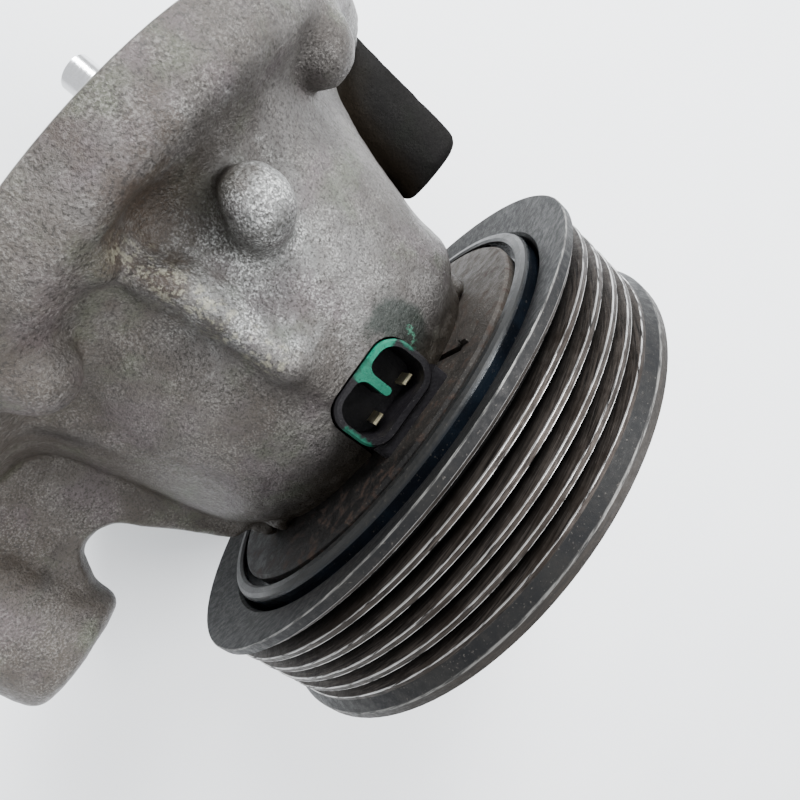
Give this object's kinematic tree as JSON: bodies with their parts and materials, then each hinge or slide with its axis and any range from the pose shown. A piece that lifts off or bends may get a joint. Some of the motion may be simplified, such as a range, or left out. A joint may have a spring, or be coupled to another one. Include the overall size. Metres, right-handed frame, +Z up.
{
  "type": "electromagnetic clutch",
  "caption": "Belt-driven electromagnetic clutch on a compressor front housing: field coil with plug socket, poly-V pulley, armature, hub and shaft.",
  "frame": {"origin": "on the shaft axis, in the middle plane of the pulley's belt grooves", "axes": "+Z up through the coil's connector, -Y along the shaft axis to the armature and hub, +Y to the compressor"},
  "size_m": [0.1315, 0.1055, 0.1086],
  "materials": {
    "cast_aluminium": "sand-cast and stained",
    "machined_steel": "machined",
    "bearing_steel": "ground",
    "black_pulley": "black coat worn off the rib crests",
    "coil_steel": "blue-black coat",
    "rusty_plate": "coat worn and rusted",
    "plug_plastic": "moulded",
    "bobbin_plastic": "moulded",
    "potting_resin": "cast resin",
    "copper_winding": "enamelled copper wire",
    "tab_metal": "pale gold plate",
    "seal_rubber": "moulded rubber",
    "damper_rubber": "bonded rubber",
    "spring_steel": "phosphated",
    "cage_plastic": "glass-filled nylon",
    "friction_steel": "scored friction face"
  },
  "bodies": {
    "compressor_nose": {"front_housing": "cast_aluminium", "joint_seal_ring": "seal_rubber", "housing_dowels": "bearing_steel", "needle_bearing_cup": "bearing_steel", "shaft_seal": "seal_rubber", "shaft_seal_clip": "spring_steel", "coil_plate": "rusty_plate", "coil_locating_pin": "bearing_steel", "coil_snap_ring": "spring_steel", "coil_shell": "coil_steel", "coil_bobbin": "bobbin_plastic", "coil_winding": "copper_winding", "coil_potting": "potting_resin", "coil_leads": "copper_winding", "terminal_tab_left": "tab_metal", "terminal_tab_right": "tab_metal", "connector_housing": "plug_plastic", "bearing_inner_race": "bearing_steel", "bearing_snap_ring": "spring_steel"},
    "pulley_group": {"pulley": "black_pulley", "pulley_snap_ring": "spring_steel", "bearing_outer_race": "bearing_steel", "bearing_seal_front": "seal_rubber", "bearing_seal_rear": "seal_rubber"},
    "ball_set": {"bearing_balls": "bearing_steel", "bearing_cage_front": "cage_plastic", "bearing_cage_rear": "cage_plastic"},
    "needle_set": {"needle_rollers": "bearing_steel"},
    "shaft_group": {"compressor_shaft": "machined_steel", "shaft_key": "machined_steel", "air_gap_shims": "machined_steel", "drive_hub": "machined_steel", "rubber_damper": "damper_rubber", "hub_washer": "machined_steel", "hub_bolt": "spring_steel"},
    "armature_group": {"armature_plate": "friction_steel", "armature_cup": "machined_steel", "armature_rivets": "machined_steel"}
  },
  "joints": [
    {"name": "pulley_spin", "type": "hinge", "parent": "compressor_nose", "child": "pulley_group", "pos_m": [0, 0, 0], "axis": [0, 1, 0], "continuous": true},
    {"name": "ball_set_orbit", "type": "hinge", "parent": "compressor_nose", "child": "ball_set", "pos_m": [0, -0.003, 0], "axis": [0, 1, 0], "continuous": true},
    {"name": "shaft_spin", "type": "hinge", "parent": "compressor_nose", "child": "shaft_group", "pos_m": [0, 0, 0], "axis": [0, 1, 0], "continuous": true},
    {"name": "needle_set_orbit", "type": "hinge", "parent": "compressor_nose", "child": "needle_set", "pos_m": [0, 0.0207, 0], "axis": [0, 1, 0], "continuous": true},
    {"name": "armature_pull_in", "type": "slide", "parent": "shaft_group", "child": "armature_group", "axis": [0, 1, 0], "range_m": [0, 0.00044], "stiffness_N_per_m": 4000}
  ],
  "couplings": [
    {"joint": "ball_set_orbit", "follows": "pulley_spin", "ratio": 0.5649},
    {"joint": "needle_set_orbit", "follows": "shaft_spin", "ratio": 0.4327}
  ]
}
